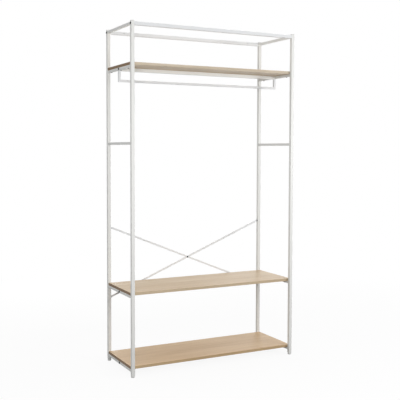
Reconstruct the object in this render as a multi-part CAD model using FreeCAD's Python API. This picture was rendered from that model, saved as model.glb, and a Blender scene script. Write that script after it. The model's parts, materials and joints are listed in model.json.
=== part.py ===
import FreeCAD, Part
import math
import os

os.makedirs("parts", exist_ok=True)

# Open frame wardrobe: two welded side frames of square steel tube, joined by bolted top rails
# and shelf beams, with three boards, a mitred hanging rail and a cross brace at the back.
# Millimetres. The origin is on the floor under the middle of the frame, with X to the right,
# Y to the back and Z up.

# Frame
frame_width = 1000.0            # over the outer faces of the posts
frame_depth = 370.0             # over the front and rear faces of the posts
frame_height = 1850.0           # floor to the top of the post caps

# Square tube: the posts, the bolted beams, the welded side rails and the hanging rail
post_size = 18.0
post_wall = 1.2
post_corner = 1.5
beam_size = 18.0
beam_wall = 1.2
beam_corner = 1.5
rail_size = 14.0
rail_wall = 1.2
rail_corner = 1.5
hanging_size = 12.0
hanging_wall = 1.0
hanging_corner = 1.2
inner_corner_share = 0.3        # inner corner radius as a share of the outer one

# Levels: from the top of the caps for the top end, from the floor for the shelves below
top_rail_set_down = 6.0         # to the top of the top rails
upper_shelf_set_down = 224.0    # to the underside of the upper shelf
waist_rail_share = 0.661        # height of the waist rails as a share of the frame height
middle_shelf_level = 430.0      # to the underside of the board
bottom_shelf_level = 41.0

# Shelf boards
shelf_thickness = 15.0
shelf_gap = 1.0                 # board edge to post face
shelf_edge = 1.0                # rounding of the board's edges

# Bolts that join the top rails and the beams to the side frames
bolt_diameter = 6.0
bolt_head_diameter = 13.0
bolt_head_height = 2.4
bolt_bite = 20.0                # length in the end plug
hole_clearance = 0.2            # round every shank, on the radius
plug_length = 26.0
plug_clearance = 0.1            # round every plug, on each side
plug_corner_share = 0.8         # plug corner radius as a share of the tube's
drive_share = 0.34              # width across the hexagon socket as a share of the head
drive_depth_share = 0.6         # socket depth as a share of the head height
rim_bevel_share = 0.4           # bevel of a head's rim as a share of its height

# Screws that hold the boards from below
shelf_screw_diameter = 4.0
shelf_screw_head_diameter = 8.0
shelf_screw_head_height = 2.2
shelf_screw_inset = 45.0        # post face to screw
shelf_screw_bite_share = 0.65   # of the board's thickness
tip_share = 0.9                 # length of a screw's point as a share of its diameter

# Hanging rail
hanging_reach = 61.0            # underside of the side rails to the underside of the bar
hanging_screw_diameter = 5.0
hanging_screw_head_diameter = 9.2
hanging_screw_head_height = 2.1
hanging_screw_bite = 14.0       # length in the drop's plug
hanging_plug_length = 18.0
hanging_screw_web = 2.5         # between the hanging screw and the beam bolt in the side rail

# Cross brace of flat bar with its ends bent against the rear posts
brace_width = 10.0
brace_thickness = 1.5
brace_bend = 0.6                # inner radius of the bent ends
brace_tab_corner = 1.5
brace_rise = 393.0              # between its low and its high ends
brace_low_drop = 68.0           # underside of the middle shelf to the low ends
brace_bolt_diameter = 5.0
brace_bolt_head_diameter = 9.0
brace_bolt_head_height = 2.6
brace_nut_width = 8.0           # across the flats
brace_nut_height = 4.0
brace_bolt_end = 1.5            # thread past the nut
brace_screw_diameter = 4.0
brace_screw_head_diameter = 7.4
brace_screw_head_height = 2.4
brace_screw_bite = 5.0          # past the post wall

# Wall fixing holes in the rear top rail
wall_hole_diameter = 6.0
wall_hole_inset = 100.0         # outer face of the frame to the hole

# Plastic caps on the posts
cap_flange = 4.0
cap_bolt_gap = 1.5              # end of the cap's skirt to the top rail bolt
cap_wall = 1.6
cap_edge = 1.2

# Levelling feet, screwed fully in
foot_diameter = 20.0
foot_height = 11.7
foot_round = 4.0                # rounding round the base
foot_gap = 0.3                  # pad to insert
stem_diameter = 8.0
stem_length = 24.0
stem_clearance = 0.3            # on the radius
insert_flange = 2.0
insert_depth = 30.0

# Worked out from the sizes above
half_width = frame_width / 2
half_depth = frame_depth / 2
post_x = half_width - post_size / 2
post_y = half_depth - post_size / 2
post_inner_x = half_width - post_size
post_inner_y = half_depth - post_size
post_bottom = foot_height + foot_gap + insert_flange
post_top = frame_height - cap_flange
rail_outer_x = post_x + rail_size / 2
rail_inner_x = post_x - rail_size / 2
top_rail_z = frame_height - top_rail_set_down - beam_size / 2
cap_skirt = post_top - top_rail_z - bolt_diameter / 2 - cap_bolt_gap
upper_shelf_level = frame_height - upper_shelf_set_down
shelf_levels = {"upper": upper_shelf_level, "middle": middle_shelf_level, "bottom": bottom_shelf_level}
hanging_y = bolt_diameter / 2 + hanging_screw_web + hanging_screw_diameter / 2
hanging_top = upper_shelf_level - rail_size
hanging_bottom = hanging_top - hanging_reach
brace_middle_z = middle_shelf_level - brace_low_drop + brace_rise / 2
brace_tab = post_size / 2
brace_screw_offset = (brace_bend + brace_tab) / 2
shelf_screw_y = post_inner_y - shelf_screw_inset
overrun = post_size             # how far a cutter runs past what it cuts

Vector = FreeCAD.Vector
X_AXIS = Vector(1, 0, 0)
Y_AXIS = Vector(0, 1, 0)
Z_AXIS = Vector(0, 0, 1)
ORIGIN = Vector(0, 0, 0)
RIGHT_ANGLE = 90
HALF_TURN = 180
SIDES = {"left": -1, "right": 1}
ENDS = {"front": -1, "rear": 1}
CORNERS = [(side, end) for side in SIDES.values() for end in ENDS.values()]


def export(node, *shapes):
    """Write one node, as a single solid or as a group of separate solids."""
    solids = [solid for shape in shapes for solid in shape.Solids]
    shape = solids[0] if len(solids) == 1 else Part.makeCompound(solids)
    shape.exportStep("parts/" + node + ".step")


def along_x(shape):
    """Turn a shape made along Z so that it runs along X."""
    return shape.rotated(ORIGIN, Y_AXIS, RIGHT_ANGLE)


def along_y(shape):
    """Turn a shape made along Z so that it runs along Y."""
    return shape.rotated(ORIGIN, X_AXIS, -RIGHT_ANGLE)


def turned_about_z(shape, side):
    """Turn a shape half round the vertical for the right-hand side."""
    return shape if side < 0 else shape.rotated(ORIGIN, Z_AXIS, HALF_TURN)


def moved(shape, x, y, z):
    return shape.translated(Vector(x, y, z))


def rounded_bar(size, corner, length):
    """Square bar with rounded corners, up from the origin."""
    half = size / 2 - corner
    square = Part.makePolygon([
        Vector(-half, -half, 0), Vector(half, -half, 0), Vector(half, half, 0),
        Vector(-half, half, 0), Vector(-half, -half, 0)])
    return Part.Face(square.makeOffset2D(corner)).extrude(Z_AXIS * length)


def square_tube(size, wall, corner, length):
    """Square tube, up from the origin."""
    bore = rounded_bar(size - 2 * wall, corner * inner_corner_share, length)
    return rounded_bar(size, corner, length).cut(bore)


def cross_hole(diameter, centre, axis, length):
    """Cutter for a round hole through a point, as long to each side of it."""
    return Part.makeCylinder(diameter / 2, length, centre - axis * (length / 2), axis)


def hexagon(width, height):
    """Hexagonal prism of a given width across the flats, up from the origin."""
    reach = width / math.sqrt(3)
    turns = [index * math.pi / 3 for index in range(7)]
    outline = Part.makePolygon([Vector(reach * math.cos(a), reach * math.sin(a), 0) for a in turns])
    return Part.Face(outline).extrude(Z_AXIS * height)


def shank_hole(diameter):
    return diameter + 2 * hole_clearance


def low_head(diameter, height):
    """Low round head below the origin, with a bevelled rim and a hexagon socket."""
    head = Part.makeCylinder(diameter / 2, height, Z_AXIS * -height)
    rim = [edge for edge in head.Edges if edge.Closed and edge.CenterOfMass.z < -height / 2]
    head = head.makeChamfer(height * rim_bevel_share, rim)
    socket = hexagon(diameter * drive_share, height * drive_depth_share)
    return head.cut(moved(socket, 0, 0, -height))


def bolt(head_diameter, head_height, diameter, length):
    """Bolt with its head under the origin and its shank along +Z."""
    return low_head(head_diameter, head_height).fuse(Part.makeCylinder(diameter / 2, length))


def pointed_screw(head_diameter, head_height, diameter, length):
    """Screw with a tapered point; the length includes the point."""
    point = diameter * tip_share
    blunt = bolt(head_diameter, head_height, diameter, length - point)
    tip = Part.makeCone(diameter / 2, 0, point, Z_AXIS * (length - point))
    return blunt.fuse(tip)


def threaded_plug(tube_size, tube_wall, tube_corner, length, bore, bore_shift):
    """Plug for a tube's end, up from the origin, with a bore set off along X."""
    size = tube_size - 2 * tube_wall - 2 * plug_clearance
    body = rounded_bar(size, tube_corner * plug_corner_share, length)
    return body.cut(Part.makeCylinder(bore / 2, length, X_AXIS * bore_shift))


def brace_end(side, back):
    """Screw place on a rear post: back is 1 for the falling brace and -1 for the rising one."""
    level = brace_middle_z - side * back * brace_rise / 2
    return Vector(side * post_inner_x, post_y + back * brace_screw_offset, level)


# Posts
for side_name, side in SIDES.items():
    for end_name, end in ENDS.items():
        tube = square_tube(post_size, post_wall, post_corner, post_top - post_bottom)
        tube = moved(tube, side * post_x, end * post_y, post_bottom)
        bolt_place = Vector(side * post_x, end * post_y, top_rail_z)
        holes = [cross_hole(shank_hole(bolt_diameter), bolt_place, X_AXIS, post_size + overrun)]
        if end_name == "rear":
            for back in (1, -1):
                place = brace_end(side, back)
                holes.append(cross_hole(shank_hole(brace_screw_diameter), place, X_AXIS, post_size))
        export(side_name + "_" + end_name + "_post", tube.cut(holes))


# Side rails, welded between the front and rear posts
def side_rail(side, centre_z, holes):
    tube = along_y(square_tube(rail_size, rail_wall, rail_corner, 2 * post_inner_y))
    tube = moved(tube, side * post_x, -post_inner_y, centre_z)
    return tube.cut(holes) if holes else tube


def shelf_rail_holes(side, name, level):
    """Beam bolt and board screws, and in the upper rail the countersunk hanging screw."""
    centre_z = level - rail_size / 2
    through = rail_size + overrun
    holes = [cross_hole(shank_hole(bolt_diameter), Vector(side * post_x, 0, centre_z), X_AXIS, through)]
    for end in ENDS.values():
        place = Vector(side * post_x, end * shelf_screw_y, centre_z)
        holes.append(cross_hole(shank_hole(shelf_screw_diameter), place, Z_AXIS, through))
    if name == "upper":
        place = Vector(side * post_x, hanging_y, centre_z)
        holes.append(cross_hole(shank_hole(hanging_screw_diameter), place, Z_AXIS, through))
        holes.append(moved(countersink(hole_clearance), side * post_x, hanging_y, level))
    return holes


def countersink(clearance):
    """Cone of a countersunk head, down from the origin."""
    wide = hanging_screw_head_diameter / 2 + clearance
    narrow = hanging_screw_diameter / 2 + clearance
    return Part.makeCone(wide, narrow, hanging_screw_head_height, ORIGIN, -Z_AXIS)


for side_name, side in SIDES.items():
    top_level = top_rail_z + beam_size / 2 - rail_size / 2
    export(side_name + "_top_rail", side_rail(side, top_level, []))
    export(side_name + "_waist_rail", side_rail(side, frame_height * waist_rail_share, []))
    for name, level in shelf_levels.items():
        holes = shelf_rail_holes(side, name, level)
        export(side_name + "_" + name + "_shelf_rail", side_rail(side, level - rail_size / 2, holes))


# Top rails, bolted between the posts
for end_name, end in ENDS.items():
    rail = along_x(square_tube(beam_size, beam_wall, beam_corner, 2 * post_inner_x))
    rail = moved(rail, -post_inner_x, end * post_y, top_rail_z)
    if end_name == "rear":
        wall_hole_x = half_width - wall_hole_inset
        places = [Vector(side * wall_hole_x, post_y, top_rail_z) for side in SIDES.values()]
        rail = rail.cut([cross_hole(wall_hole_diameter, p, Y_AXIS, beam_size + overrun) for p in places])
    export(end_name + "_top_rail", rail)

# Shelf beams, bolted between the side rails under the middle of each board
for name, level in shelf_levels.items():
    beam = along_x(square_tube(beam_size, beam_wall, beam_corner, 2 * rail_inner_x))
    export(name + "_shelf_beam", moved(beam, -rail_inner_x, 0, level - beam_size / 2))

# Threaded plugs in the ends of the top rails and the beams, with their bolts
rail_plugs = []
rail_bolts = []
plug_bore = shank_hole(bolt_diameter)
for side, end in CORNERS:
    plug = threaded_plug(beam_size, beam_wall, beam_corner, plug_length, plug_bore, 0)
    plug = turned_about_z(along_x(plug), side)
    rail_plugs.append(moved(plug, side * post_inner_x, end * post_y, top_rail_z))
    long_bolt = bolt(bolt_head_diameter, bolt_head_height, bolt_diameter, post_size + bolt_bite)
    long_bolt = turned_about_z(along_x(long_bolt), side)
    rail_bolts.append(moved(long_bolt, side * half_width, end * post_y, top_rail_z))
export("top_rail_plugs", *rail_plugs)
export("top_rail_bolts", *rail_bolts)

beam_plugs = []
beam_bolts = []
bolt_rise = (beam_size - rail_size) / 2     # bolt above the middle of the beam
for side in SIDES.values():
    for level in shelf_levels.values():
        plug = threaded_plug(beam_size, beam_wall, beam_corner, plug_length, plug_bore, -bolt_rise)
        plug = turned_about_z(along_x(plug), side)
        beam_plugs.append(moved(plug, side * rail_inner_x, 0, level - beam_size / 2))
        short_bolt = bolt(bolt_head_diameter, bolt_head_height, bolt_diameter, rail_size + bolt_bite)
        short_bolt = turned_about_z(along_x(short_bolt), side)
        beam_bolts.append(moved(short_bolt, side * rail_outer_x, 0, level - rail_size / 2))
export("beam_plugs", *beam_plugs)
export("beam_bolts", *beam_bolts)


# Shelf boards on the side rails and beams, and the screws that hold them from below
shelf_screw_bite = shelf_thickness * shelf_screw_bite_share


def shelf_board(level):
    depth = 2 * (post_inner_y - shelf_gap)
    board = Part.makeBox(2 * rail_outer_x, depth, shelf_thickness, Vector(-rail_outer_x, -depth / 2, level))
    board = board.makeFillet(shelf_edge, board.Edges)
    pilot = shank_hole(shelf_screw_diameter)
    drilled = 2 * (shelf_screw_bite + hole_clearance)
    places = [Vector(side * post_x, end * shelf_screw_y, level) for side, end in CORNERS]
    return board.cut([cross_hole(pilot, place, Z_AXIS, drilled) for place in places])


shelf_screws = []
for name, level in shelf_levels.items():
    export(name + "_shelf", shelf_board(level))
    for side, end in CORNERS:
        screw = pointed_screw(shelf_screw_head_diameter, shelf_screw_head_height,
                              shelf_screw_diameter, rail_size + shelf_screw_bite)
        shelf_screws.append(moved(screw, side * post_x, end * shelf_screw_y, level - rail_size))
export("shelf_screws", *shelf_screws)


# Hanging rail: a bar and two drops, mitred and welded at the corners
def mitre_cutter(side):
    """Half space above the corner's diagonal, on the drop's side of it."""
    reach = 2 * hanging_reach
    corner_x = side * (post_x + hanging_size / 2)
    corner = Vector(corner_x, 0, hanging_bottom)
    outward = Vector(corner_x + side * reach, 0, hanging_bottom - reach)
    upward = Vector(corner_x + side * reach, 0, hanging_bottom + reach)
    inward = Vector(corner_x - side * reach, 0, hanging_bottom + reach)
    face = Part.Face(Part.makePolygon([corner, outward, upward, inward, corner]))
    return moved(face.extrude(Y_AXIS * reach), 0, hanging_y - reach / 2, 0)


bar = along_x(square_tube(hanging_size, hanging_wall, hanging_corner, 2 * post_x + hanging_size))
bar = moved(bar, -post_x - hanging_size / 2, hanging_y, hanging_bottom + hanging_size / 2)
export("hanging_bar", bar.cut([mitre_cutter(side) for side in SIDES.values()]))

hanging_plugs = []
hanging_screws = []
for side_name, side in SIDES.items():
    drop = square_tube(hanging_size, hanging_wall, hanging_corner, hanging_reach)
    drop = moved(drop, side * post_x, hanging_y, hanging_bottom)
    export(side_name + "_hanging_drop", drop.common(mitre_cutter(side)))
    plug = threaded_plug(hanging_size, hanging_wall, hanging_corner, hanging_plug_length,
                         shank_hole(hanging_screw_diameter), 0)
    hanging_plugs.append(moved(plug, side * post_x, hanging_y, hanging_top - hanging_plug_length))
    length = rail_size + hanging_screw_bite
    shank = Part.makeCylinder(hanging_screw_diameter / 2, length, ORIGIN, -Z_AXIS)
    socket = hexagon(hanging_screw_head_diameter * drive_share, hanging_screw_head_height)
    screw = countersink(0).fuse(shank).cut(moved(socket, 0, 0, -hanging_screw_head_height))
    hanging_screws.append(moved(screw, side * post_x, hanging_y, upper_shelf_level))
export("hanging_plugs", *hanging_plugs)
export("hanging_screws", *hanging_screws)


# Cross brace: one bent bar, and the same bar turned half round to cross behind it
def brace_bar():
    """Flat bar from high on the left to low on the right, with both ends bent to the back."""
    height = 2 * brace_rise
    low_z = brace_middle_z - brace_rise
    front_y = post_y - brace_thickness
    depth = brace_tab + brace_thickness
    outer = Part.makeBox(2 * post_inner_x, depth, height, Vector(-post_inner_x, front_y, low_z))
    outer = outer.makeFillet(brace_bend + brace_thickness, upright_edges(outer, front_y))
    inner_x = post_inner_x - brace_thickness
    inner = Part.makeBox(2 * inner_x, brace_tab + overrun, height, Vector(-inner_x, post_y, low_z))
    inner = inner.makeFillet(brace_bend, upright_edges(inner, post_y))
    channel = outer.cut(inner)
    span = math.hypot(2 * post_inner_x, brace_rise) + 2 * overrun
    band_depth = 2 * (depth + overrun)
    corner = Vector(-span / 2, -band_depth / 2, -brace_width / 2)
    slope = math.degrees(math.atan2(brace_rise, 2 * post_inner_x))
    band = Part.makeBox(span, band_depth, brace_width, corner).rotated(ORIGIN, Y_AXIS, slope)
    bar = channel.common(moved(band, 0, post_y, brace_middle_z)).Solids[0]
    tab_ends = [e for e in bar.Edges if e.BoundBox.YMin > half_depth - brace_bend / 2
                and e.BoundBox.XLength > e.BoundBox.ZLength]
    bar = bar.makeFillet(brace_tab_corner, tab_ends)
    middle = Vector(0, post_y, brace_middle_z)
    holes = [cross_hole(shank_hole(brace_bolt_diameter), middle, Y_AXIS, overrun)]
    for side in SIDES.values():
        holes.append(cross_hole(shank_hole(brace_screw_diameter), brace_end(side, 1), X_AXIS, overrun))
    return bar.cut(holes)


def upright_edges(shape, y):
    """The vertical edges of a box that stand at one depth."""
    return [edge for edge in shape.Edges
            if edge.BoundBox.ZLength > edge.BoundBox.XLength + edge.BoundBox.YLength
            and abs(edge.CenterOfMass.y - y) < brace_bend / 2]


falling = brace_bar()
export("falling_brace", falling)
export("rising_brace", falling.rotated(Vector(0, post_y, 0), Z_AXIS, HALF_TURN))

grip = 2 * brace_thickness + brace_nut_height + brace_bolt_end
centre_bolt = along_y(bolt(brace_bolt_head_diameter, brace_bolt_head_height, brace_bolt_diameter, grip))
export("brace_centre_bolt", moved(centre_bolt, 0, post_y - brace_thickness, brace_middle_z))
nut = hexagon(brace_nut_width, brace_nut_height)
nut = nut.cut(Part.makeCylinder(shank_hole(brace_bolt_diameter) / 2, brace_nut_height))
export("brace_centre_nut", moved(along_y(nut), 0, post_y + brace_thickness, brace_middle_z))

brace_screws = []
for side in SIDES.values():
    for back in (1, -1):
        length = brace_thickness + post_wall + brace_screw_bite
        screw = pointed_screw(brace_screw_head_diameter, brace_screw_head_height,
                              brace_screw_diameter, length)
        screw = turned_about_z(along_x(screw), -side)
        head_face = X_AXIS * (-side * brace_thickness)
        brace_screws.append(screw.translated(brace_end(side, back) + head_face))
export("brace_end_screws", *brace_screws)


# Plastic caps in the tops of the posts
def post_cap():
    flange = rounded_bar(post_size, post_corner, cap_flange)
    rim = [edge for edge in flange.Edges if edge.BoundBox.ZMin > cap_flange / 2]
    flange = flange.makeFillet(cap_edge, rim)
    size = post_size - 2 * post_wall - 2 * plug_clearance
    skirt = rounded_bar(size, post_corner * plug_corner_share, cap_skirt)
    hollow = rounded_bar(size - 2 * cap_wall, post_corner * plug_corner_share, cap_skirt)
    return flange.fuse(moved(skirt.cut(hollow), 0, 0, -cap_skirt))


export("post_caps", *[moved(post_cap(), side * post_x, end * post_y, post_top) for side, end in CORNERS])


# Plastic inserts in the bottoms of the posts, and the levelling feet
def foot_insert():
    flange = moved(rounded_bar(post_size, post_corner, insert_flange), 0, 0, -insert_flange)
    size = post_size - 2 * post_wall - 2 * plug_clearance
    body = flange.fuse(rounded_bar(size, post_corner * plug_corner_share, insert_depth))
    bore = Part.makeCylinder(stem_diameter / 2 + stem_clearance, 2 * insert_depth, Z_AXIS * -insert_depth)
    return body.cut(bore)


def levelling_foot():
    """Pad with a rounded base and a threaded stem, turned about its own axis."""
    radius = foot_diameter / 2
    stem = stem_diameter / 2
    stem_top = foot_height + stem_length
    base_end = Vector(radius - foot_round, 0, 0)
    side_start = Vector(radius, 0, foot_round)
    middle = foot_round * (1 - math.sqrt(1 / 2))
    bend = Vector(radius - middle, 0, middle)
    shoulder = Vector(radius, 0, foot_height)
    neck = Vector(stem, 0, foot_height)
    tip = Vector(stem, 0, stem_top)
    axis_top = Vector(0, 0, stem_top)
    edges = [Part.LineSegment(ORIGIN, base_end), Part.Arc(base_end, bend, side_start)]
    corners = [side_start, shoulder, neck, tip, axis_top, ORIGIN]
    edges += [Part.LineSegment(a, b) for a, b in zip(corners, corners[1:])]
    outline = Part.Wire([edge.toShape() for edge in edges])
    return Part.Face(outline).revolve(ORIGIN, Z_AXIS)


inserts = [moved(foot_insert(), side * post_x, end * post_y, post_bottom) for side, end in CORNERS]
export("foot_inserts", *inserts)
for side_name, side in SIDES.items():
    for end_name, end in ENDS.items():
        foot = moved(levelling_foot(), side * post_x, end * post_y, 0)
        export(side_name + "_" + end_name + "_foot", foot)
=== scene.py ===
import json
import math

import bmesh
import bpy
from mathutils import Matrix, Vector


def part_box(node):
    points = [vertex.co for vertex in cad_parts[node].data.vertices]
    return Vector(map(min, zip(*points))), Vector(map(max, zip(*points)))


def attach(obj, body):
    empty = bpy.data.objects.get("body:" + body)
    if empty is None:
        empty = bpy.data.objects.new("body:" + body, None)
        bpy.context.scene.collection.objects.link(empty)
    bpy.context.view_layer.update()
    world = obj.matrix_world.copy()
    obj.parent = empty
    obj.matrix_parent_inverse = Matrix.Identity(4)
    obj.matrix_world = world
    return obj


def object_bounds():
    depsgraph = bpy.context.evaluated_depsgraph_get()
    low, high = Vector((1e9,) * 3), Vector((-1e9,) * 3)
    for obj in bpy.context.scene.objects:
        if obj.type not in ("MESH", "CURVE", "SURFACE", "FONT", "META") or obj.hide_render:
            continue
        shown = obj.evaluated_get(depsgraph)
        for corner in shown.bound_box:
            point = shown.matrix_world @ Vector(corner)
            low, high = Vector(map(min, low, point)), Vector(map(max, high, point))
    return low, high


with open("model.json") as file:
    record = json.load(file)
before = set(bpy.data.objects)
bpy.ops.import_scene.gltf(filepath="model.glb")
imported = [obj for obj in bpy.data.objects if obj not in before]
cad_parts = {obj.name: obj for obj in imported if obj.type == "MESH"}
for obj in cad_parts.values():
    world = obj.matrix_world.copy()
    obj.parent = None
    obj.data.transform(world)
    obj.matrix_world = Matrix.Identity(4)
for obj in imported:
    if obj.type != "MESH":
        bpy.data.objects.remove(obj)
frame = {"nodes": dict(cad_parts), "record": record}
cad_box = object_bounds()

# Open frame wardrobe: white powder-coated square tube, oak boards, black fasteners.
# Metres throughout, in the frame of the solids: X to the right, Y to the back and Z up.

# Camera, solved from the edges of the wardrobe in the photograph
CAMERA_PLACE = (-1.9140, -3.6898, 1.1882)
CAMERA_YAW = math.radians(-27.314)
CAMERA_PITCH = math.radians(-2.952)
CAMERA_ROLL = math.radians(0.152)
CAMERA_LENS = 65.951
CAMERA_SENSOR = 36.0
CAMERA_SHIFT = -0.03

# Studio: the floor's tone for bounced light, and the tone and share of white that the camera sees
FLOOR_SIZE = 14.0
FLOOR_TONE = 0.24
FLOOR_SEEN_TONE = 0.95
FLOOR_WHITE_SHARE = 0.92
FLOOR_NEAR = 1.0
FLOOR_FAR = 3.0
WORLD_STRENGTH = 0.44
SOFT_LIGHTS = (
    dict(name="right softbox", place=(1.7, -2.1, 1.3), aim=(0.0, 0.0, 1.2), width=0.9, power=26.0),
    dict(name="left softbox", place=(-1.5, -2.1, 1.3), aim=(0.0, 0.0, 1.2), width=0.9, power=20.3),
    dict(name="rear softbox", place=(-0.1, 3.2, 0.8), aim=(0.0, 0.0, 0.9), width=1.4, power=25.0),
    dict(name="top light", place=(0.0, -0.2, 4.0), aim=(0.0, 0.0, 0.0), width=3.0, power=18.5),
    dict(name="back light", place=(2.0, 2.6, 1.0), aim=(0.2, 0.0, 0.4), width=1.2, power=3.4),
)

# Colours of the finishes, from the darker to the paler
WHITE = (1.0, 1.0, 1.0)
COAT_WHITES = ((0.83, 0.832, 0.808), (0.865, 0.867, 0.843))
# A darker, cooler copy of the coat whites: painted shade for the pieces listed below
SHADED_COAT_WHITES = ((0.80, 0.81, 0.82), (0.835, 0.845, 0.855))
COAT_RUB = (0.62, 0.60, 0.57)
OAK_BANDS = ((0.716, 0.544, 0.357), (0.781, 0.609, 0.416), (0.835, 0.679, 0.494))
OAK_STREAKS = ((0.80, 0.77, 0.72), WHITE)
OAK_PORE = (0.33, 0.23, 0.14)
BARE_BROWNS = ((0.145, 0.072, 0.016), (0.245, 0.128, 0.030))
BLACK_ZINC = ((0.030, 0.029, 0.028), (0.12, 0.115, 0.11))
BRIGHT_ZINC = ((0.52, 0.53, 0.55), (0.66, 0.66, 0.66))
PLASTIC_WHITES = ((0.79, 0.79, 0.77), (0.84, 0.84, 0.82))

# Pieces given a darker, cooler copy of the white coat: painted shade, which also cancels the warm light
# bounced onto them from the boards
SHADED_COAT_PIECES = ("front_top_rail", "rear_top_rail", "hanging_bar", "left_hanging_drop", "right_hanging_drop",
               "falling_brace", "rising_brace")

# Faint rub marks on the coat fade out between these heights
RUBS_FULL_HEIGHT = 0.02
RUBS_END_HEIGHT = 0.16

# Boards of one oak, upwards, each in a shade of its own, darker and warmer towards the bottom, with a
# darker band on its long edges, less dark and less yellow on the upper board
BOARDS = ("bottom_shelf", "middle_shelf", "upper_shelf")
BOARD_SHADES = ((0.940, 0.845, 0.704), (0.958, 0.945, 0.922), WHITE)
EDGE_SHADES = ((0.81, 0.825, 0.83), (0.81, 0.825, 0.83), (0.82, 0.89, 1.0))

# Stretch of the oak's grain, which is far finer across the board than along it
OAK_BAND_STRETCH = (0.9, 16.0, 16.0)
OAK_STREAK_STRETCH = (2.2, 130.0, 130.0)
OAK_PORE_STRETCH = (60.0, 1100.0, 1100.0)

# Cosines from which a face starts to count as turned to an axis, and fully counts
FACING_FROM = 0.6
FACING_FULL = 0.8

# Inputs and output of a Mix node that carry its factor and its colours
MIX_FACTOR, MIX_FIRST, MIX_SECOND = 0, 6, 7
MIX_COLOUR = 2

# Weld beads round the ends of the side rails
BEAD_PROUD = 0.0009
BEAD_WIDTH = 0.0014
BEAD_ROUND = 0.0007
BEAD_ROUND_STEPS = 3
BEAD_SINK = 0.0003
BEAD_MERGE = 0.00001

# Threads on the stems of the levelling feet
STEM_RADIUS = 0.004
THREAD_PITCH = 0.00125
THREAD_WIDTH = 0.0006
THREAD_PROUD = 0.00022
THREAD_STEPS = 20

SIDES = ("left", "right")
ENDS = ("front", "rear")
SIDE_RAILS = ("top", "waist", "upper_shelf", "middle_shelf", "bottom_shelf")
QUARTER_TURN = math.radians(90)


# Shader helpers

def feed(tree, socket, value):
    """Link an output to a socket, or set the socket's own value."""
    if isinstance(value, bpy.types.NodeSocket):
        tree.links.new(value, socket)
    elif socket.type == "RGBA":
        socket.default_value = (*value, 1.0)
    else:
        socket.default_value = value


def connect(tree, node, **inputs):
    """Feed a node's inputs by name, with _ for each space."""
    for name, value in inputs.items():
        feed(tree, node.inputs[name.replace("_", " ")], value)


def add(tree, kind, **inputs):
    """Add a node and feed its inputs."""
    made = tree.nodes.new(kind)
    connect(tree, made, **inputs)
    return made


def bare_tree(owner):
    """The empty node tree of a material or world."""
    owner.use_nodes = True
    owner.node_tree.nodes.clear()
    return owner.node_tree


def finish_material(name):
    """A new material with a plain Principled shader; gives the material, its tree and the shader."""
    material = bpy.data.materials.new(name)
    tree = bare_tree(material)
    shader = tree.nodes.new("ShaderNodeBsdfPrincipled")
    add(tree, "ShaderNodeOutputMaterial", Surface=shader.outputs["BSDF"])
    return material, tree, shader


def place_in_object(tree, stretch=(1.0, 1.0, 1.0)):
    """Object coordinates, stretched for a grain that runs one way."""
    coordinates = tree.nodes.new("ShaderNodeTexCoord")
    mapped = add(tree, "ShaderNodeMapping", Vector=coordinates.outputs["Object"], Scale=stretch)
    return mapped.outputs["Vector"]


def parts_of(tree, vector):
    """The X, Y and Z outputs of a vector."""
    return add(tree, "ShaderNodeSeparateXYZ", Vector=vector).outputs


def noise(tree, place, scale, detail=2.0, roughness=0.5):
    made = add(tree, "ShaderNodeTexNoise", Vector=place, Scale=scale, Detail=detail, Roughness=roughness)
    return made.outputs["Fac"]


def ramp(tree, factor, places, colours, between="LINEAR"):
    """Colours at places along a factor."""
    made = add(tree, "ShaderNodeValToRGB", Fac=factor)
    made.color_ramp.interpolation = between
    elements = made.color_ramp.elements
    while len(elements) < len(places):
        elements.new(0.5)
    for element, place, colour in zip(elements, places, colours):
        element.position = place
        element.color = (*colour, 1.0)
    return made.outputs["Color"]


def spread(tree, value, taken, given):
    """Map a value from one range to another, and hold it there."""
    made = add(tree, "ShaderNodeMapRange", Value=value, From_Min=taken[0], From_Max=taken[1],
               To_Min=given[0], To_Max=given[1])
    return made.outputs["Result"]


def calculate(tree, operation, *values):
    made = tree.nodes.new("ShaderNodeMath")
    made.operation = operation
    for socket, value in zip(made.inputs, values):
        feed(tree, socket, value)
    return made.outputs["Value"]


def blend(tree, factor, first, second, way="MIX"):
    """Mix two colours by a factor."""
    made = tree.nodes.new("ShaderNodeMix")
    made.data_type = "RGBA"
    made.blend_type = way
    feed(tree, made.inputs[MIX_FACTOR], factor)
    feed(tree, made.inputs[MIX_FIRST], first)
    feed(tree, made.inputs[MIX_SECOND], second)
    return made.outputs[MIX_COLOUR]


def turned_to(tree, part_of_normal):
    """1 on faces that look along an axis, either way."""
    either_way = calculate(tree, "ABSOLUTE", part_of_normal)
    return spread(tree, either_way, (FACING_FROM, FACING_FULL), (0.0, 1.0))


def bump(tree, height, strength, depth):
    made = add(tree, "ShaderNodeBump", Height=height, Strength=strength, Distance=depth)
    return made.outputs["Normal"]


# Finishes

def powder_coat(name, whites):
    """Satin white coat with a fine orange peel and faint rub marks near the floor."""
    material, tree, shader = finish_material(name)
    place = place_in_object(tree)
    drift = noise(tree, place, scale=3.0, detail=3.0)
    white = ramp(tree, drift, (0.35, 0.65), whites)
    near_floor = spread(tree, parts_of(tree, place)["Z"], (RUBS_FULL_HEIGHT, RUBS_END_HEIGHT), (1.0, 0.0))
    scuffs = noise(tree, place, scale=90.0, detail=6.0, roughness=0.7)
    rubs = calculate(tree, "MULTIPLY", near_floor, spread(tree, scuffs, (0.58, 0.70), (0.0, 0.35)))
    peel = noise(tree, place, scale=620.0)
    connect(tree, shader, Base_Color=blend(tree, rubs, white, COAT_RUB),
            Roughness=spread(tree, drift, (0.3, 0.7), (0.40, 0.50)),
            Normal=bump(tree, peel, strength=0.12, depth=0.0004))
    return material


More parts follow.
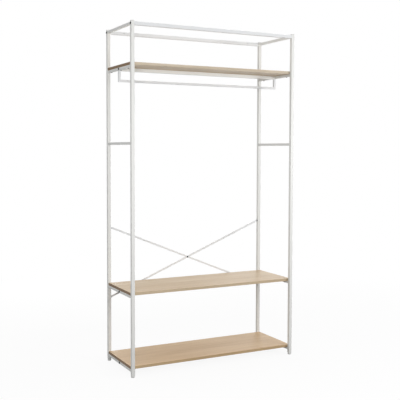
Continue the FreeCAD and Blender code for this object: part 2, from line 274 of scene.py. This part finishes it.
def by_board(tree, shades):
    """One shade for each board, told apart by height, with a change midway between two boards."""
    top = cad_box[1][2]
    height = parts_of(tree, place_in_object(tree))["Z"]
    starts = [0.0]
    for lower, upper in zip(BOARDS, BOARDS[1:]):
        midway = (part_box(lower)[1].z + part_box(upper)[0].z) / 2
        starts.append(midway / top)
    return ramp(tree, spread(tree, height, (0.0, top), (0.0, 1.0)), starts, shades, between="CONSTANT")


def oak_board():
    """Matt oak veneer with its grain along X, a darker edge band and bare brown ends."""
    material, tree, shader = finish_material("oak board")
    bands = noise(tree, place_in_object(tree, OAK_BAND_STRETCH), scale=1.6, detail=4.0, roughness=0.55)
    streaks = noise(tree, place_in_object(tree, OAK_STREAK_STRETCH), scale=1.6, detail=5.0, roughness=0.65)
    pores = noise(tree, place_in_object(tree, OAK_PORE_STRETCH), scale=1.0)
    tone = ramp(tree, bands, (0.30, 0.52, 0.72), OAK_BANDS)
    tone = blend(tree, 1.0, tone, by_board(tree, BOARD_SHADES), "MULTIPLY")
    veneer = blend(tree, 0.75, tone, ramp(tree, streaks, (0.30, 0.60), OAK_STREAKS), "MULTIPLY")
    pits = spread(tree, pores, (0.60, 0.70), (0.0, 0.30))
    veneer = blend(tree, pits, veneer, OAK_PORE)
    edge_band = blend(tree, 1.0, veneer, by_board(tree, EDGE_SHADES), "MULTIPLY")
    chips = noise(tree, place_in_object(tree), scale=420.0, detail=3.0, roughness=0.6)
    bare = ramp(tree, chips, (0.35, 0.65), BARE_BROWNS)
    facing = parts_of(tree, tree.nodes.new("ShaderNodeNewGeometry").outputs["Normal"])
    veneer = blend(tree, turned_to(tree, facing["Y"]), veneer, edge_band)
    grain = calculate(tree, "MULTIPLY", pores, streaks)
    connect(tree, shader, Base_Color=blend(tree, turned_to(tree, facing["X"]), veneer, bare),
            Roughness=spread(tree, streaks, (0.3, 0.7), (0.50, 0.38)), Specular_IOR_Level=0.35,
            Normal=bump(tree, grain, strength=0.22, depth=0.0006))
    return material


def black_fastener():
    """Black zinc with a faint sheen and paler worn spots."""
    material, tree, shader = finish_material("black fastener")
    place = place_in_object(tree)
    wear = noise(tree, place, scale=500.0, detail=4.0, roughness=0.7)
    grain = noise(tree, place, scale=1500.0)
    connect(tree, shader, Base_Color=ramp(tree, wear, (0.45, 0.75), BLACK_ZINC), Metallic=0.6,
            Roughness=spread(tree, wear, (0.3, 0.7), (0.36, 0.55)),
            Normal=bump(tree, grain, strength=0.1, depth=0.0002))
    return material


def bright_zinc():
    """Plated steel of the plugs inside the tubes."""
    material, tree, shader = finish_material("bright zinc")
    spangle = noise(tree, place_in_object(tree), scale=350.0, detail=3.0, roughness=0.6)
    connect(tree, shader, Base_Color=ramp(tree, spangle, (0.3, 0.7), BRIGHT_ZINC), Metallic=1.0,
            Roughness=spread(tree, spangle, (0.3, 0.7), (0.28, 0.42)))
    return material


def white_plastic():
    """Moulded white plastic of the caps, inserts and feet, a little duller than the coat."""
    material, tree, shader = finish_material("white plastic")
    place = place_in_object(tree)
    drift = noise(tree, place, scale=40.0, detail=3.0)
    grain = noise(tree, place, scale=1300.0)
    connect(tree, shader, Base_Color=ramp(tree, drift, (0.35, 0.65), PLASTIC_WHITES),
            Roughness=spread(tree, grain, (0.3, 0.7), (0.50, 0.62)),
            Normal=bump(tree, grain, strength=0.15, depth=0.0002))
    return material


FINISHES = {
    "white_powder_coat": powder_coat("white powder coat", COAT_WHITES),
    "oak_board": oak_board(),
    "black_fastener": black_fastener(),
    "zinc_plug": bright_zinc(),
    "white_plastic": white_plastic(),
}
# Painted shade: the rails, hanging bar and braces take a darker, cooler copy of the white coat
shaded_coat = powder_coat("white powder coat with painted shade", SHADED_COAT_WHITES)
for part in frame["record"]["subparts"]:
    mesh = frame["nodes"][part["node"]].data
    mesh.materials.clear()
    mesh.materials.append(shaded_coat if part["node"] in SHADED_COAT_PIECES else FINISHES[part["material_slot"]])


# New pieces

def mesh_object(name, shape, finish):
    """Make an object at the origin from a bmesh, with one finish."""
    mesh = bpy.data.meshes.new(name)
    shape.to_mesh(mesh)
    shape.free()
    mesh.materials.append(finish)
    made = bpy.data.objects.new(name, mesh)
    bpy.context.collection.objects.link(made)
    return made


def new_piece(name, shape, body, slot):
    """Make a smooth piece with its finish and let it ride."""
    piece = mesh_object(name, shape, FINISHES[slot])
    piece.data.shade_smooth()
    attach(piece, body)


def bead_ring(width):
    """Flat square ring, extruded upwards, with its upper outer edges rounded."""
    ring = bmesh.new()
    bmesh.ops.create_grid(ring, x_segments=1, y_segments=1, size=width / 2)
    rim = bmesh.ops.inset_region(ring, faces=ring.faces[:], thickness=2 * BEAD_PROUD, use_boundary=True,
                                 use_even_offset=True)["faces"]
    bmesh.ops.delete(ring, geom=[face for face in ring.faces if face not in rim], context="FACES")
    raised = bmesh.ops.extrude_face_region(ring, geom=ring.faces[:])["geom"]
    moved = [item for item in raised if isinstance(item, bmesh.types.BMVert)]
    bmesh.ops.translate(ring, verts=moved, vec=(0, 0, BEAD_WIDTH + BEAD_SINK))
    bmesh.ops.recalc_face_normals(ring, faces=ring.faces[:])
    outer = [edge for edge in ring.edges
             if all(max(abs(vert.co.x), abs(vert.co.y)) > width / 2 - BEAD_PROUD / 2 for vert in edge.verts)
             and any(vert.co.z > BEAD_WIDTH / 2 for vert in edge.verts)]
    bmesh.ops.bevel(ring, geom=outer, offset=BEAD_ROUND, offset_type="OFFSET", affect="EDGES",
                    segments=BEAD_ROUND_STEPS, profile=0.5, material=-1)
    return ring


def add_weld_bead(shape, low, high, at_rear, flush_top):
    """Bead round a side rail's end, against the post, ground flush where a board lies on the rail."""
    ring = bead_ring(high.x - low.x + 2 * BEAD_PROUD)
    turn = Matrix.Rotation(QUARTER_TURN if at_rear else -QUARTER_TURN, 4, "X")
    middle = (low + high) / 2
    middle.y = high.y + BEAD_SINK if at_rear else low.y - BEAD_SINK
    bmesh.ops.transform(ring, matrix=Matrix.Translation(middle) @ turn, verts=ring.verts[:])
    if flush_top:
        bmesh.ops.bisect_plane(ring, geom=ring.verts[:] + ring.edges[:] + ring.faces[:], plane_co=high,
                               plane_no=(0, 0, 1), clear_outer=True)
        bmesh.ops.holes_fill(ring, edges=[edge for edge in ring.edges if edge.is_boundary], sides=0)
    bmesh.ops.remove_doubles(ring, verts=ring.verts[:], dist=BEAD_MERGE)
    bmesh.ops.recalc_face_normals(ring, faces=ring.faces[:])
    bead = bpy.data.meshes.new("bead")
    ring.to_mesh(bead)
    ring.free()
    shape.from_mesh(bead)
    bpy.data.meshes.remove(bead)


def weld_beads(side):
    """The beads at both ends of all rails of one side frame."""
    beads = bmesh.new()
    for rail in SIDE_RAILS:
        low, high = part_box(side + "_" + rail + "_rail")
        for at_rear in (False, True):
            add_weld_bead(beads, low, high, at_rear, flush_top="shelf" in rail)
    return beads


def stem_thread(foot):
    """Helical ridge on a levelling foot's stem, from the lower end of its insert to the stem's top."""
    low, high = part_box(foot)
    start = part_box("foot_inserts")[0].z
    axis = Vector(((low.x + high.x) / 2, (low.y + high.y) / 2, start))
    turns = int((high.z - start) / THREAD_PITCH) - 1
    root, crest = STEM_RADIUS - THREAD_PROUD, STEM_RADIUS + THREAD_PROUD
    profile = ((root, 0.0), (crest, THREAD_WIDTH / 2), (root, THREAD_WIDTH))
    shape = bmesh.new()
    corners = [shape.verts.new(axis + Vector((radius, 0, up))) for radius, up in profile]
    section = shape.faces.new(corners)
    bmesh.ops.spin(shape, geom=corners + section.edges[:] + [section], cent=axis, axis=(0, 0, 1),
                   angle=turns * 2 * math.pi, dvec=(0, 0, THREAD_PITCH / THREAD_STEPS),
                   steps=turns * THREAD_STEPS, use_merge=False)
    bmesh.ops.recalc_face_normals(shape, faces=shape.faces[:])
    return shape


for side in SIDES:
    new_piece(side + "_weld_beads", weld_beads(side), "frame", "white_powder_coat")
for side in SIDES:
    for end in ENDS:
        foot = side + "_" + end + "_foot"
        new_piece(foot + "_thread", stem_thread(foot), side + " " + end + " foot", "white_plastic")


# Studio: pale floor, white background, five soft lights and the camera

def camera_sees(tree):
    """1 for rays that show the background: straight, mirrored or through glass."""
    path = tree.nodes.new("ShaderNodeLightPath")
    seen = path.outputs["Is Camera Ray"]
    for name in ("Is Glossy Ray", "Is Transmission Ray"):
        seen = calculate(tree, "MAXIMUM", seen, path.outputs[name])
    return seen


def floor_paint():
    """Pale paint that takes shadows, seen nearly white at the feet and white further off."""
    material = bpy.data.materials.new("studio floor")
    tree = bare_tree(material)
    seen = camera_sees(tree)
    tone = spread(tree, seen, (0.0, 1.0), (FLOOR_TONE, FLOOR_SEEN_TONE))
    paint = add(tree, "ShaderNodeBsdfDiffuse", Color=tone)
    white = add(tree, "ShaderNodeEmission", Color=WHITE, Strength=1.0)
    away = add(tree, "ShaderNodeVectorMath", Vector=place_in_object(tree))
    away.operation = "LENGTH"
    fade = spread(tree, away.outputs["Value"], (FLOOR_NEAR, FLOOR_FAR), (FLOOR_WHITE_SHARE, 1.0))
    mixed = add(tree, "ShaderNodeMixShader", Fac=calculate(tree, "MULTIPLY", seen, fade))
    feed(tree, mixed.inputs[1], paint.outputs["BSDF"])
    feed(tree, mixed.inputs[2], white.outputs["Emission"])
    add(tree, "ShaderNodeOutputMaterial", Surface=mixed.outputs["Shader"])
    return material


def studio_floor():
    shape = bmesh.new()
    bmesh.ops.create_grid(shape, x_segments=1, y_segments=1, size=FLOOR_SIZE / 2)
    floor = mesh_object("studio_floor", shape, floor_paint())


def studio_world():
    world = bpy.data.worlds.new("studio")
    tree = bare_tree(world)
    strength = spread(tree, camera_sees(tree), (0.0, 1.0), (WORLD_STRENGTH, 1.0))
    light = add(tree, "ShaderNodeBackground", Color=WHITE, Strength=strength)
    add(tree, "ShaderNodeOutputWorld", Surface=light.outputs["Background"])
    bpy.context.scene.world = world


def soft_light(name, place, aim, width, power):
    light = bpy.data.lights.new(name, "AREA")
    light.shape = "DISK"
    light.size = width
    light.energy = power
    lamp = bpy.data.objects.new(name, light)
    lamp.location = place
    lamp.rotation_euler = (Vector(aim) - Vector(place)).to_track_quat("-Z", "Y").to_euler()
    bpy.context.collection.objects.link(lamp)


def photo_camera():
    lens = bpy.data.cameras.new("photo camera")
    lens.lens = CAMERA_LENS
    lens.sensor_width = CAMERA_SENSOR
    lens.shift_y = CAMERA_SHIFT
    camera = bpy.data.objects.new("photo camera", lens)
    tilt = Matrix.Rotation(QUARTER_TURN + CAMERA_PITCH, 3, "X")
    turn = Matrix.Rotation(CAMERA_YAW, 3, "Z") @ tilt @ Matrix.Rotation(CAMERA_ROLL, 3, "Z")
    camera.rotation_euler = turn.to_euler()
    camera.location = CAMERA_PLACE
    bpy.context.collection.objects.link(camera)
    bpy.context.scene.camera = camera


studio_floor()
studio_world()
for light in SOFT_LIGHTS:
    soft_light(**light)
photo_camera()
bpy.context.scene.view_settings.view_transform = "Standard"
